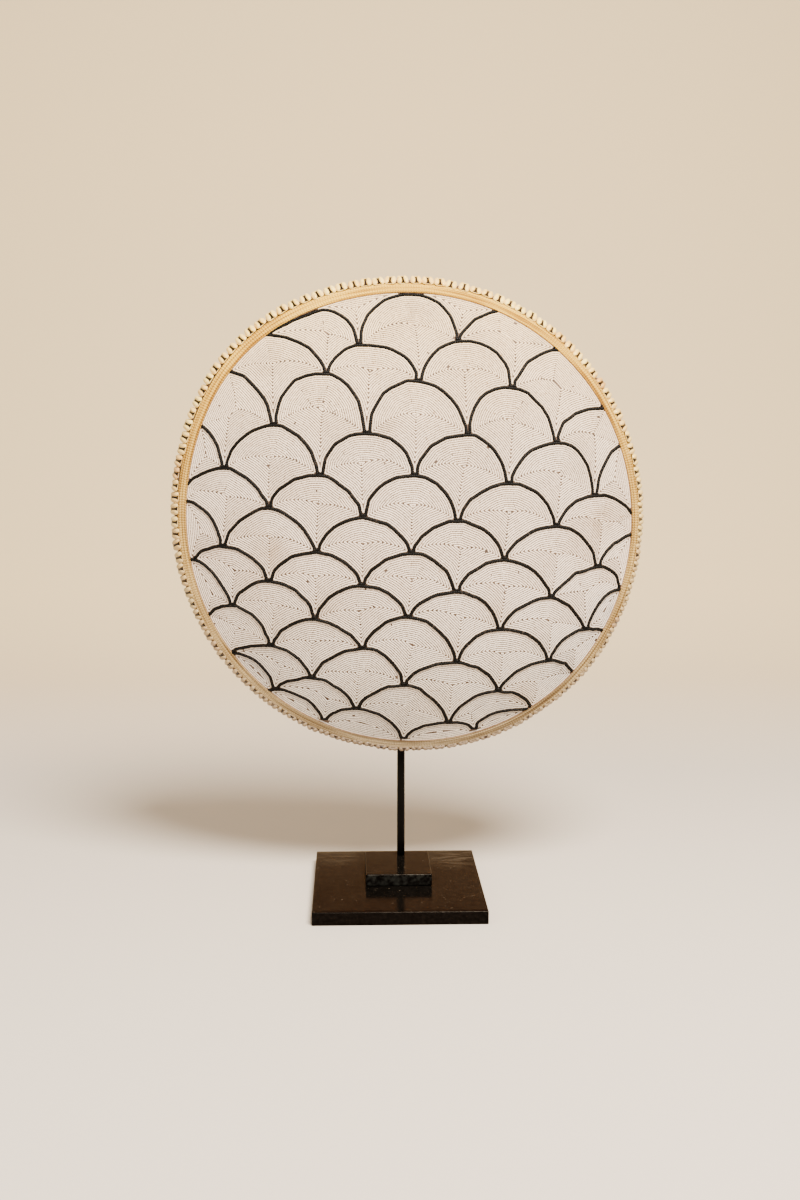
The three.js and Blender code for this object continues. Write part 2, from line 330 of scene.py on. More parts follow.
def shown_runs(path, border):
    """The stretches of a path that stay this far from the band."""
    angle = np.arctan2(path[:, 0], path[:, 1])
    shown = np.hypot(path[:, 0], path[:, 1]) < field_radius(angle) - border
    return [path[first : last + 1] for first, last in runs_of(shown) if last > first + 2]


def joint_feet():
    """Short cross rows that fill the narrow foot between two strings at a joint."""
    rows = []
    for row in range(1, len(JOINTS)):
        for x, z in JOINTS[row][1:-1]:
            for width, lift in FOOT_ROWS:
                ends = np.array([(x - width, z + lift), (x + width, z + lift)])
                rows.append(resampled(ends))
    return rows


# Meshes
def grid_faces(rows, columns, rows_close=False, columns_close=False):
    row = np.arange(rows if rows_close else rows - 1)[:, None]
    column = np.arange(columns if columns_close else columns - 1)[None, :]
    below = (row + 1) % rows
    beside = (column + 1) % columns
    corners = [row * columns + column, row * columns + beside]
    corners += [below * columns + beside, below * columns + column]
    grids = [np.broadcast_to(corner, (row.size, column.size)) for corner in corners]
    return np.stack(grids, -1).reshape(-1, 4)


def end_faces(around, rings):
    """The two faces that close a tube of so many rings."""
    return [np.arange(around)[None], np.arange(around)[None, ::-1] + (rings - 1) * around]


def linked(name, data):
    made = bpy.data.objects.new(name, data)
    bpy.context.scene.collection.objects.link(made)
    return made


def new_piece(name, points, faces, materials, replaces=(), place=MIDDLE):
    """A piece from points in millimetres and from faces, in one array or in several that
    take the materials in turn."""
    faces = faces if isinstance(faces, list) else [faces]
    materials = materials if isinstance(materials, list) else [materials]
    sizes = np.concatenate([np.full(len(group), group.shape[1]) for group in faces])
    slots = np.concatenate([np.full(len(group), i) for i, group in enumerate(faces)])
    corners = np.concatenate([group.ravel() for group in faces])
    mesh = bpy.data.meshes.new(name)
    mesh.vertices.add(len(points))
    mesh.vertices.foreach_set("co", ((points + place) / 1000).ravel())
    mesh.loops.add(len(corners))
    mesh.loops.foreach_set("vertex_index", corners)
    mesh.polygons.add(len(sizes))
    mesh.polygons.foreach_set("loop_start", np.concatenate([[0], np.cumsum(sizes)[:-1]]))
    mesh.polygons.foreach_set("material_index", slots % len(materials))
    for material in materials:
        mesh.materials.append(material)
    mesh.update(calc_edges=True)
    mesh.shade_smooth()
    piece = linked(name, mesh)
    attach(piece, "root")
    if replaces:
        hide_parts(*replaces)
    return piece


def add_values(piece, name, values, each=1):
    """A number a point for a material to read, or one number for each so many points."""
    attribute = piece.data.attributes.new(name, "FLOAT", "POINT")
    attribute.data.foreach_set("value", np.repeat(values, each).astype(np.float32))


def add_tones(piece, middle, spread, each):
    count = len(piece.data.vertices) // each
    add_values(piece, "tone", np.clip(dice.normal(middle, spread, count), 0, 1), each)


def add_lay(piece, name, flat):
    """A flat map for threads and grain to follow, one [u, v] a point: u is in whole turns
    round the shield and v in millimetres. Faces that close a turn read on past 1."""
    corners = np.zeros(len(piece.data.loops), np.int32)
    starts = np.zeros(len(piece.data.polygons), np.int32)
    piece.data.loops.foreach_get("vertex_index", corners)
    piece.data.polygons.foreach_get("loop_start", starts)
    laid = flat[corners]
    face = np.searchsorted(starts, np.arange(len(corners)), side="right") - 1
    furthest = np.maximum.reduceat(laid[:, 0], starts)[face]
    laid[:, 0] += furthest - laid[:, 0] > 0.5
    layer = piece.data.uv_layers.new(name=name)
    layer.data.foreach_set("uv", laid.astype(np.float32).ravel())


def repeated(template, faces, origins, axes, sizes):
    """Copies of one small mesh: axes are three unit vectors a copy, sizes three factors."""
    scaled = template[None] * sizes[:, None, :]
    points = origins[:, None]
    for i, axis in enumerate(axes):
        points = points + scaled[:, :, i : i + 1] * axis[:, None]
    offsets = np.arange(len(origins))[:, None, None] * len(template)
    return points.reshape(-1, 3), (faces[None] + offsets).reshape(-1, faces.shape[1])


def swept(path, sides, ups, section, closed=False):
    """A tube along a path: section points are [side, up] at every point of the path."""
    if section.ndim == 2:
        section = np.broadcast_to(section, (len(path), *section.shape))
    points = path[:, None] + section[:, :, 0:1] * sides[:, None]
    points = points + section[:, :, 1:2] * ups[:, None]
    faces = grid_faces(len(path), section.shape[1], rows_close=closed, columns_close=True)
    return points.reshape(-1, 3), faces


def ring_of(radius, count):
    turns = whole_turn(count)
    return np.stack([radius * np.cos(turns), radius * np.sin(turns)], axis=1)


# Materials
def new_material(name, colour, roughness, **values):
    material = bpy.data.materials.new(name)
    material.use_nodes = True
    shader = material.node_tree.nodes["Principled BSDF"]
    shader.inputs["Base Color"].default_value = (*colour, 1)
    shader.inputs["Roughness"].default_value = roughness
    for socket, value in values.items():
        shader.inputs[socket.replace("_", " ")].default_value = value
    return material, material.node_tree


def node_of(tree, kind, inputs=None, **settings):
    made = tree.nodes.new(kind)
    for key, value in settings.items():
        setattr(made, key, value)
    for key, value in (inputs or {}).items():
        if isinstance(value, bpy.types.NodeSocket):
            tree.links.new(value, made.inputs[key])
        else:
            made.inputs[key].default_value = value
    return made


def placed(tree, scale=(1, 1, 1), lay=None):
    """Coordinates to paint by: the part's own metres, or a named flat map in millimetres."""
    if lay:
        source = node_of(tree, "ShaderNodeUVMap", uv_map=lay).outputs["UV"]
    else:
        source = node_of(tree, "ShaderNodeTexCoord").outputs["Object"]
    mapping = node_of(tree, "ShaderNodeMapping", {"Vector": source, "Scale": scale})
    return mapping.outputs["Vector"]


def round_the_rim(tree, lay, along, across):
    """Coordinates that run round the shield and across a flat map, with no seam."""
    here = placed(tree, (along, along, along))
    flat = placed(tree, (1, across, 1), lay)
    axes = {0: axis_of(tree, here, "X"), 1: axis_of(tree, flat, "Y"), 2: axis_of(tree, here, "Z")}
    return node_of(tree, "ShaderNodeCombineXYZ", axes).outputs[0]


def stitches(tree, lay, count, waver):
    """Stitches across a flat map, a whole number of them to the turn, from 0 to 1."""
    around = axis_of(tree, placed(tree, lay=lay), "X")
    shift = speckle(tree, 1.0, 2.0, at=round_the_rim(tree, lay, 60.0, 0.7))
    phase = summed(tree, "MULTIPLY", around, 2 * math.pi * count)
    phase = summed(tree, "ADD", phase, summed(tree, "MULTIPLY", shift, waver))
    wave = summed(tree, "SINE", phase, 0.0)
    return summed(tree, "ADD", summed(tree, "MULTIPLY", wave, 0.5), 0.5)


def speckle(tree, scale, detail=3.0, roughness=0.5, at=None):
    """Noise from 0 to 1 through the part, or at other coordinates."""
    inputs = {"Scale": scale, "Detail": detail, "Roughness": roughness}
    inputs["Vector"] = placed(tree) if at is None else at
    return node_of(tree, "ShaderNodeTexNoise", inputs).outputs["Fac"]


def axis_of(tree, vector, axis):
    return node_of(tree, "ShaderNodeSeparateXYZ", {0: vector}).outputs[axis]


def facing(tree, axis, stops):
    """A grey by how far a face turns to an axis: 0 on faces that turn the other way."""
    normal = node_of(tree, "ShaderNodeNewGeometry").outputs["Normal"]
    return ramp(tree, axis_of(tree, normal, axis), stops)


def shaded_behind(tree, colour, shade_tint):
    """Painted shade: less golden where it faces the shield's back, away from the light."""
    behind = facing(tree, "Y", [(0.1, 0.0), (0.5, 1.0)])
    return mixed(tree, behind, colour, times(tree, colour, shade_tint))


def own_value(tree, name):
    return node_of(tree, "ShaderNodeAttribute", attribute_name=name).outputs["Fac"]


def solid(colour):
    """The four values of a colour or of a grey. A socket stays as it is."""
    if isinstance(colour, bpy.types.NodeSocket):
        return colour
    return (*colour, 1) if isinstance(colour, tuple) else (colour, colour, colour, 1)


def ramp(tree, factor, stops):
    """Colours or greys along a factor: stops are (place, colour)."""
    made = node_of(tree, "ShaderNodeValToRGB", {"Fac": factor})
    elements = made.color_ramp.elements
    while len(elements) < len(stops):
        elements.new(0.5)
    for element, (place, colour) in zip(elements, stops):
        element.position = place
        element.color = solid(colour)
    return made.outputs["Color"]


def mixed(tree, factor, one, other, blend="MIX"):
    inputs = {0: factor, 6: solid(one), 7: solid(other)}
    made = node_of(tree, "ShaderNodeMix", inputs, data_type="RGBA", blend_type=blend)
    return made.outputs[2]


def times(tree, one, other):
    return mixed(tree, 1.0, one, other, "MULTIPLY")


def summed(tree, operation, one, other):
    return node_of(tree, "ShaderNodeMath", {0: one, 1: other}, operation=operation).outputs[0]


def finished(material, colour, rough=None, bump=None):
    """Links a colour to a material, a roughness as (factor, low, high) and a bump as
    (height, distance)."""
    tree = material.node_tree
    shader = tree.nodes["Principled BSDF"]
    tree.links.new(colour, shader.inputs["Base Color"])
    if rough:
        factor, low, high = rough
        roughness = ramp(tree, factor, [(0.3, low), (0.7, high)])
        tree.links.new(roughness, shader.inputs["Roughness"])
    if bump:
        raised = node_of(tree, "ShaderNodeBump", {"Height": bump[0], "Distance": bump[1]})
        tree.links.new(raised.outputs["Normal"], shader.inputs["Normal"])
    return material


def white_bead_material():
    material, tree = new_material("white_bead_glass", (0.8, 0.75, 0.68), 0.38)
    tone = ramp(tree, own_value(tree, "tone"), [
        (0.0, (0.50, 0.36, 0.24)), (0.15, (0.72, 0.58, 0.45)), (1.0, (0.85, 0.70, 0.56))])
    broad = speckle(tree, 9.0, 4.0)
    aged = ramp(tree, broad, [(0.35, (0.93, 0.91, 0.88)), (0.6, 1.0)])
    # Painted light with some yellowing by age: the beads are brighter and yellower towards the
    # top, where the light from above falls, and cooler low down
    light_and_yellowing_by_height = ramp(tree, axis_of(tree, placed(tree), "Z"), [
        (0.16, (0.95, 1.03, 1.10)), (0.34, 1.0), (0.44, (1.0, 1.0, 0.97)),
        (0.57, (1.16, 1.09, 0.85))])
    colour = times(tree, times(tree, tone, aged), light_and_yellowing_by_height)
    mottled = ramp(tree, speckle(tree, 70.0, 4.0), [(0.35, 0.25), (0.65, 1.0)])
    # Brown stains, and greyer patches mostly on the lower part, tint the beads by their values
    for name, tint in (("brown_stain", (0.50, 0.36, 0.22)), ("grey_stain", (0.37, 0.36, 0.36))):
        colour = mixed(tree, times(tree, own_value(tree, name), mottled), colour, tint)
    return finished(material, colour, (broad, 0.3, 0.48))


def black_bead_material():
    material, tree = new_material(
        "black_bead_glass", (0.004, 0.003, 0.002), 0.4, Specular_IOR_Level=0.08)
    tone = ramp(tree, own_value(tree, "tone"), [
        (0.0, (0.002, 0.0015, 0.001)), (0.85, (0.005, 0.004, 0.003)),
        (1.0, (0.016, 0.012, 0.009))])
    return finished(material, tone, (speckle(tree, 160.0), 0.3, 0.5))


def cloth_material():
    material, tree = new_material("backing_cloth", (0.1, 0.06, 0.04), 0.9)
    colour = ramp(tree, speckle(tree, 60.0, 5.0), [
        (0.3, (0.045, 0.027, 0.018)), (0.7, (0.13, 0.085, 0.058))])
    return finished(material, colour, bump=(speckle(tree, 900.0, 2.0), 0.0003))


def coil_material():
    """Bound coils on the back: stitches run across each coil, and the fibre is streaked."""
    material, tree = new_material("coiled_fibre", (0.5, 0.35, 0.2), 0.75)
    sewn = stitches(tree, "coils", 260, 3.0)
    broad = speckle(tree, 14.0, 5.0)
    streaks = speckle(tree, 1.0, 4.0, at=round_the_rim(tree, "coils", 30.0, 2.2))
    colour = ramp(tree, streaks, [
        (0.25, (0.20, 0.115, 0.055)), (0.55, (0.42, 0.27, 0.14)), (0.8, (0.58, 0.41, 0.23))])
    worn = ramp(tree, broad, [(0.3, (0.55, 0.5, 0.45)), (0.65, 1.0)])
    seam = ramp(tree, sewn, [(0.0, (0.5, 0.45, 0.4)), (0.35, 1.0)])
    colour = times(tree, times(tree, colour, worn), seam)
    relief = summed(tree, "ADD", sewn, streaks)
    return finished(material, colour, (broad, 0.62, 0.85), (relief, 0.0005))


def shade_below(tree):
    """Painted shade on the shield's edge: more towards its lower side, which the dome shades from
    the light above.
    """
    return ramp(tree, axis_of(tree, placed(tree), "Z"), [(0.14, 1.0), (0.3, 0.75), (0.57, 0.0)])


def fibre_material():
    """The band: fibre laid along the rim, with fine wrapping across it."""
    material, tree = new_material(
        "band_fibre", (0.75, 0.56, 0.33), 0.7, Specular_IOR_Level=0.06)
    streaks = speckle(tree, 1.0, 4.0, 0.66, round_the_rim(tree, "band", 9.0, 0.5))
    wraps = stitches(tree, "band", 560, 8.0)
    colour = ramp(tree, streaks, [
        (0.38, (0.31, 0.14, 0.014)), (0.47, (0.59, 0.33, 0.034)), (0.57, (0.80, 0.49, 0.06))])
    # Painted shade: the band's streaks in darker colours, mixed in towards the lower side
    shaded_streaks = ramp(tree, streaks, [
        (0.38, (0.075, 0.048, 0.024)), (0.47, (0.17, 0.125, 0.07)), (0.57, (0.31, 0.235, 0.135))])
    # Painted shade on the band's faces that turn to the back
    colour = shaded_behind(tree, colour, (0.72, 0.76, 2.3))
    colour = mixed(tree, shade_below(tree), colour, shaded_streaks)
    crossing = ramp(tree, wraps, [(0.0, (0.95, 0.93, 0.90)), (0.5, 1.0)])
    broad = speckle(tree, 22.0, 4.0)
    aged = ramp(tree, broad, [(0.3, (0.80, 0.74, 0.66)), (0.6, 1.0)])
    colour = times(tree, times(tree, colour, crossing), aged)
    relief = summed(tree, "ADD", wraps, streaks)
    return finished(material, colour, (broad, 0.55, 0.8), (relief, 0.00045))


def thread_material(name, dark, pale):
    material, tree = new_material(name, dark, 0.85)
    colour = ramp(tree, speckle(tree, 220.0, 4.0), [(0.3, dark), (0.7, pale)])
    return finished(material, colour, bump=(speckle(tree, 1400.0, 2.0), 0.0002))


def shell_material():
    material, tree = new_material(
        "cowrie_shell", (0.86, 0.74, 0.52), 0.3, Coat_Weight=0.05, Specular_IOR_Level=0.25)
    tone = ramp(tree, own_value(tree, "tone"), [
        (0.0, (0.66, 0.36, 0.09)), (0.35, (0.92, 0.61, 0.16)), (1.0, (1.0, 0.75, 0.22))])
    bands = ramp(tree, speckle(tree, 240.0, 4.0), [(0.3, (0.78, 0.66, 0.50)), (0.55, 1.0)])
    # Painted shade on the shells' faces that turn to the back
    colour = shaded_behind(tree, times(tree, tone, bands), (0.85, 0.87, 1.8))
    # Painted shade: the shells darker towards the lower side
    colour = mixed(tree, shade_below(tree), colour, (0.24, 0.175, 0.115))
    # Painted shade: near-black in the slot, also where it is filled, and on the front of the
    # flanks where neighbours meet
    groove = ramp(tree, own_value(tree, "groove"), [(0.66, 0.0), (0.9, 1.0)])
    colour = mixed(tree, groove, colour, (0.022, 0.010, 0.005))
    rough = (speckle(tree, 90.0), 0.22, 0.42)
    return finished(material, colour, rough, (speckle(tree, 700.0, 2.0), 0.00008))


def wood_material():
    material, tree = new_material("lath_wood", (0.42, 0.29, 0.17), 0.7)
    grain = speckle(tree, 6.0, 6.0, 0.65, placed(tree, (2, 60, 60)))
    colour = ramp(tree, grain, [
        (0.3, (0.16, 0.09, 0.045)), (0.5, (0.36, 0.23, 0.12)), (0.75, (0.52, 0.37, 0.21))])
    return finished(material, colour, (grain, 0.6, 0.8), (grain, 0.0005))


def rod_material():
    material, tree = new_material(
        "rod_paint", (0.002, 0.0015, 0.001), 0.4, Specular_IOR_Level=0.03)
    broad = speckle(tree, 45.0, 4.0)
    worn = ramp(tree, speckle(tree, 320.0, 5.0), [(0.68, 0.0), (0.76, 0.6)])
    colour = ramp(tree, broad, [(0.3, (0.0012, 0.001, 0.0008)), (0.7, (0.003, 0.0024, 0.0018))])
    colour = mixed(tree, worn, colour, (0.014, 0.011, 0.008))
    return finished(material, colour, (broad, 0.3, 0.5), (speckle(tree, 500.0), 0.0001))


def dusty_patch(tree, place, reach):
    """Wiped dust that thins out from a place to a distance from it, both in metres."""
    away = node_of(tree, "ShaderNodeVectorMath", {0: placed(tree), 1: place}, operation="DISTANCE")
    share = summed(tree, "DIVIDE", away.outputs["Value"], reach)
    wiped = speckle(tree, 210.0, 6.0, 0.7, placed(tree, (0.22, 1.5, 1)))
    near = ramp(tree, share, [(0.3, 1.0), (1.0, 0.0)])
    return times(tree, ramp(tree, wiped, [(0.43, 0.0), (0.58, 0.42)]), near)


def lacquer_material(name, dust, hammered, dusty=()):
    """Dark brown lacquer that shines through brown on top, with near-black sides, dusty
    scuffs and pale specks. Dusty places are a point and how far the dust reaches."""
    material, tree = new_material(
        name, (0.03, 0.016, 0.008), 0.2, Specular_IOR_Level=0.01,
        Specular_Tint=(0.48, 0.45, 0.44, 1))
    broad = speckle(tree, 18.0, 5.0)
    top = ramp(tree, broad, [
        (0.3, (0.0108, 0.009, 0.0072)), (0.7, (0.0155, 0.0127, 0.0102))])
    grain = speckle(tree, 260.0, 4.0, at=placed(tree, (1, 0.6, 1)))
    top = times(tree, top, ramp(tree, grain, [(0.35, 0.72), (0.65, 1.25)]))
    facing_up = facing(tree, "Z", [(0.3, 0.0), (0.8, 1.0)])
    side = ramp(tree, speckle(tree, 300.0), [(0.4, (0.004, 0.003, 0.0025)), (0.75, hammered)])
    scuffs = ramp(tree, speckle(tree, 48.0, 8.0, 0.7, placed(tree, (1, 0.35, 1))), [
        (0.74 - dust, 0.0), (0.95 - dust, 0.4)])
    specks = ramp(tree, speckle(tree, 340.0, 2.0), [(0.712, 0.0), (0.735, 0.6)])
    worn = mixed(tree, 1.0, scuffs, specks, "LIGHTEN")
    for place, reach in dusty:
        worn = mixed(tree, 1.0, worn, dusty_patch(tree, place, reach), "LIGHTEN")
    worn = mixed(tree, facing_up, 0.0, worn)
    clean = mixed(tree, facing_up, side, top)
    colour = mixed(tree, worn, clean, (0.10, 0.075, 0.05))
    shader = tree.nodes["Principled BSDF"]
    tree.links.new(summed(tree, "SUBTRACT", 0.8, worn), shader.inputs["Metallic"])
    rough = mixed(tree, facing_up, 0.5, mixed(tree, scuffs, 0.14, 0.55))
    tree.links.new(rough, shader.inputs["Roughness"])
    return finished(material, colour, bump=(speckle(tree, 130.0, 4.0), 0.00006))


# The dished body: cloth in front, bound coils behind
def shield_dish():
    around = 180
    innermost = 0.004
    turns = whole_turn(around)
    edge = field_radius(turns)
    front_shares = np.linspace(innermost, 1, 34)
    back_shares = np.linspace(1, innermost, COILS * 5 + 1)
    rings = [(share, -dome_height(share)) for share in front_shares]
    for share in back_shares:
        groove = COIL_GROOVE * (1 - abs(math.sin(math.pi * share * COILS))) ** 1.5
        rings.append((share, WALL - groove - dome_height(share)))
    points = []
    lay = []
    for share, y in rings:
        radius = share * edge
        depth = np.full(around, y)
        points.append(np.stack([radius * np.sin(turns), depth, radius * np.cos(turns)], 1))
        lay.append(np.stack([turns / (2 * math.pi), radius], 1))
    faces = grid_faces(len(rings), around, columns_close=True)
    cut = len(front_shares) * around
    caps = [cap[:, ::-1] for cap in end_faces(around, len(rings))]
    piece = new_piece(
        "shield_dish", np.concatenate(points), [faces[:cut], faces[cut:], *caps],
        [cloth_material(), coil_material()],
        replaces=["shield_body"])
    add_lay(piece, "coils", np.concatenate(lay))


# Beads: the hole runs along x, and only the half above the cloth is drawn
def bead_template(profile, around, radius):
    turns = np.linspace(0, math.pi, around)
    points = []
    for along, size in profile:
        ring = np.stack([np.full(around, along), size * np.cos(turns), size * np.sin(turns)], 1)
        points.append(ring * [1, radius, radius])
    return np.concatenate(points), grid_faces(len(profile), around)


def beads_along(run, pitch):
    """Places and directions, on the flat skin, of the beads that fit on one run."""
    along = lengths_along(run)
    count = int(along[-1] / pitch + TIGHT)
    if count < 1:
        return None
    look = 0.3
    spare = along[-1] - count * pitch
    places = spare / 2 + pitch * (np.arange(count) + 0.5)
    ahead = points_at(run, along, places + look)
    behind = points_at(run, along, places - look)
    return points_at(run, along, places), unit(ahead - behind + [1e-9, 0])


def joined(found):
    """All places and all directions from a list of both for each run."""
    return [np.concatenate(parts) for parts in zip(*found)]


def bead_rows(paths):
    """White rows beside every string and the band: each row keeps its distance from its
    own border and stops where another border is nearer."""
    laid = [laid_flat(path) for path in paths]
    marks = np.concatenate(laid)
    nearest = kdtree.KDTree(len(marks))
    for i, (x, z) in enumerate(marks):
        nearest.insert((x, z, 0), i)
    nearest.balance()
    turns = np.linspace(0, 2 * math.pi, 2800)
    rim = field_radius(turns)[:, None] * np.stack([np.sin(turns), np.cos(turns)], 1)
    borders = [(path, side, BLACK_RADIUS) for path in laid for side in (-1, 1)]
    borders.append((laid_flat(rim), -1, BAND_BORDER))
    laid_edge = np.interp(1, SHARES, LAID)
    found = []
    for path, side, border_width in borders:
        forward = np.gradient(path, axis=0)
        normals = unit(np.stack([-forward[:, 1], forward[:, 0]], 1)) * side
        own = WHITE_RADIUS
        while True:
            row = resampled(path + normals * (own + border_width))
            angle = np.arctan2(row[:, 0], row[:, 1])
            to_band = field_radius(angle) * laid_edge - np.hypot(*row.T) - BAND_BORDER
            slack = ROW_SLACK[0] + dice.uniform(0, ROW_SLACK[1])
            near = to_band > own - slack
            for i in np.where(near)[0]:
                away = nearest.find((row[i, 0], row[i, 1], 0))[2]
                near[i] = away - BLACK_RADIUS > own - slack
            if not near.any():
                break
            for first, last in runs_of(near):
                beads = beads_along(row[first : last + 1], WHITE_LENGTH)
                if beads:
                    found.append(beads)
            own += ROW_PITCH
    return joined(found)


def stood_on_dome(points, directions):
    """Origins on the dome and three axes, for beads placed on the flat skin."""
    here = put_back(points)
    ahead = on_dome(put_back(points + 0.5 * directions))
    origins = on_dome(here)
    ups = dome_normals(here)
    along = unit(ahead - origins)
    sides = unit(np.cross(ups, along))
    return origins, (unit(np.cross(sides, ups)), sides, ups)


def patch_strength(origins, patches):
    """How strongly the patches tint the beads at these places."""
    total = np.zeros(len(origins))
    for x, z, size, strength in patches:
        away = np.hypot(origins[:, 0] - x, origins[:, 2] - z) / size
        total += strength * np.exp(-away * away)
    return np.clip(total, 0, 0.9)


def white_beads(paths):
    points, directions = bead_rows(paths)
    kept = np.ones(len(points), bool)
    for start in dice.integers(0, len(points), LOST_RUNS):
        kept[start : start + dice.integers(1, 3)] = False
    points = points[kept] + dice.normal(0, WHITE_STRAY, (kept.sum(), 2))
    order = np.argsort(-points[:, 1])
    points = points[order]
    origins, axes = stood_on_dome(points, directions[kept][order])
    half = WHITE_LENGTH / 2
    profile = [(-half, 0.55), (0, 1.0), (half, 0.55)]
    template, faces = bead_template(profile, 4, WHITE_RADIUS)
    material = white_bead_material()
    for number, group in enumerate(np.array_split(np.arange(len(origins)), WHITE_PIECES)):
        sizes = 1 + dice.normal(0, 0.045, (len(group), 3))
        parts = [axis[group] for axis in axes]
        made, quads = repeated(template, faces, origins[group], parts, sizes)
        piece = new_piece(f"white_beads_{number + 1}", made, quads, material)
        add_tones(piece, 0.62, 0.2, len(template))
        for name, patches in BEAD_PATCHES.items():
            add_values(piece, name, patch_strength(origins[group], patches), len(template))


def black_beads(paths):
    runs = [run for path in paths for run in shown_runs(path, -STRINGS_UNDER_BAND)]
    runs += [run for path in joint_feet() for run in shown_runs(path, FEET_FROM_BAND)]
    found = [beads_along(laid_flat(run), BLACK_LENGTH) for run in runs]
    origins, axes = stood_on_dome(*joined([beads for beads in found if beads]))
    half = BLACK_LENGTH / 2
    profile = [(-half, 0.88), (-0.5 * half, 1.0), (0.5 * half, 1.0), (half, 0.88)]
    template, faces = bead_template(profile, 7, BLACK_RADIUS)
    template[:, 2] += BLACK_LIFT
    sizes = 1 + dice.normal(0, 0.04, (len(origins), 3))
    made, quads = repeated(template, faces, origins, axes, sizes)
    piece = new_piece(
        "black_bead_strings", made, quads, black_bead_material(),
        replaces=["scale_outlines"])
    add_tones(piece, 0.45, 0.25, len(template))


# The rim
def ring_axes(turns):
    outward = np.stack([np.sin(turns), np.zeros_like(turns), np.cos(turns)], 1)
    onward = np.stack([np.cos(turns), np.zeros_like(turns), -np.sin(turns)], 1)
    backward = np.broadcast_to([0.0, 1.0, 0.0], outward.shape)
    return outward, onward, backward


def swept_ring(turns, radius, section):
    """A section of [out, back] points swept round the shield."""
    outward, _, backward = ring_axes(turns)
    return swept(radius[:, None] * outward, outward, backward, section, closed=True)


def rim_band():
    turns = whole_turn(540)
    across = np.linspace(-1, 1, BAND_STRANDS * 5 + 1)
    crown = BAND_CROWN * np.abs(across) ** 6
    ripple = BAND_RIPPLE * np.abs(np.cos(math.pi * BAND_STRANDS * (across + 1) / 2)) ** 1.5
    slope = BAND_SLOPE * (across + 1) / 2
    front = np.stack([across, crown + ripple + slope - BAND_FRONT], 1)
    outer = np.array([(1, 5), (1, 12), (0.9, BAND_BACK), (0, BAND_BACK)])
    section = np.concatenate([front, outer, outer[-2::-1] * [-1, 1]])
    scaled = np.repeat(section[None], len(turns), 0)
    scaled[:, :, 0] *= band_half_width(turns)[:, None]
    points, faces = swept_ring(turns, band_radius(turns), scaled)
    piece = new_piece(
        "woven_band", points, faces[:, ::-1], fibre_material(),
        replaces=["rim_band"])
    along = np.repeat(turns / (2 * math.pi), len(section))
    around = np.tile(lengths_along(section * [BAND_HALF_WIDTH, 1]), len(turns))
    add_lay(piece, "band", np.stack([along, around], 1))


def edge_shade_thread():
    """The thin dark stitched line where the beadwork meets the band, which also paints the shadow
    line there.
    """
    turns = whole_turn(720)
    wave = EDGE_SHADE_THREAD["wave"] * np.sin(turns * EDGE_SHADE_THREAD["waves"])
    radius = field_radius(turns) + EDGE_SHADE_THREAD["out"] + wave
    section = ring_of(EDGE_SHADE_THREAD["radius"], 6) - [0, EDGE_SHADE_THREAD["front"]]
    points, faces = swept_ring(turns, radius, section)
    # Painted shadow: dark brown for the shadow line at the band's inner edge
    material = thread_material("edge_shade_thread", (0.13, 0.065, 0.035), (0.28, 0.15, 0.08))
    new_piece("edge_shade_thread", points, faces, material)


# A cowrie with its back cut away: x runs round the rim, y along it, z out of its slot
COWRIE = {
    "wide": 5.9, "long": 6.6, "high": 3.0, "back": 1.0, "tooth": 0.3, "lobe": 0.5, "notch": 0.2,
    "front_heavy": 0.3}
COWRIE_SECTION = [
    (0.0, 0.05), (0.12, 0.12), (0.16, 0.50), (0.20, 0.78), (0.32, 0.95), (0.5, 1.0),
    (0.69, 0.89), (0.86, 0.63), (0.96, 0.31), (1.0, 0.0), (0.97, -0.34), (0.5, -0.34)]
COWRIE_GROOVE = [1.0, 1.0, 0.95, 0.62, 0.2] + [0.0] * 7


def cowrie_template():
    """One shell's points and faces, and three values a point: how deep in the slot it lies, which
    sets the painted shade in the slot, how far down the front of a flank it lies, which sets the
    painted shade where neighbours meet, and how far up it goes where the slot is filled. The two
    lips are rounded off each by itself, so that the slot notches the outline."""
    stations = 21
    right = np.array(COWRIE_SECTION)
    groove = np.array(COWRIE_GROOVE)
    toothed = (groove > 0.5) & (groove < 1)
    flank = right[:, 0] > 0.965
    points = []
    halves = []
    for i, slope in enumerate(np.linspace(-1, 1, stations)):
        y = math.sin(slope * math.pi / 2)
        girth = (1 - y * y) ** 0.55 + 0.015
        lobe = COWRIE["lobe"] * (1 - 0.12 * abs(y) ** 3)
        side = lobe + (right[:, 0] - 0.5) * np.where(right[:, 0] > 0.5, 0.25 + 0.75 * girth, girth)
        side = np.where(groove == 1.0, right[:, 0] * 0.8, side) * COWRIE["wide"]
        side += toothed * COWRIE["tooth"] * (0.5 if i % 2 else -0.5)
        side[0] = 0
        up = right[:, 1] * girth * np.where(right[:, 1] > 0, COWRIE["high"], 3 * COWRIE["back"])
        notch = np.where(right[:, 0] < 0.3, 1 - COWRIE["notch"] * abs(y) ** 3, 1)
        reach = (y * notch - COWRIE["front_heavy"] * (1 - y * y)) * COWRIE["long"]
        half = np.stack([side, reach, up], 1)
        points.append(np.concatenate([half, half[-1:0:-1] * [-1, 1, 1]]))
        filling = (groove > 0.5) * (0.85 * girth * COWRIE["high"] - up)
        halves.append([groove, flank * np.clip(0.6 - y, 0, 1), filling])
    halves = np.array(halves)
    whole = np.concatenate([halves, halves[:, :, -1:0:-1]], axis=2)
    values = whole.transpose(1, 0, 2).reshape(3, -1)
    columns = len(points[0])
    faces = grid_faces(stations, columns, columns_close=True)
    return np.concatenate(points), faces, end_faces(columns, stations), values


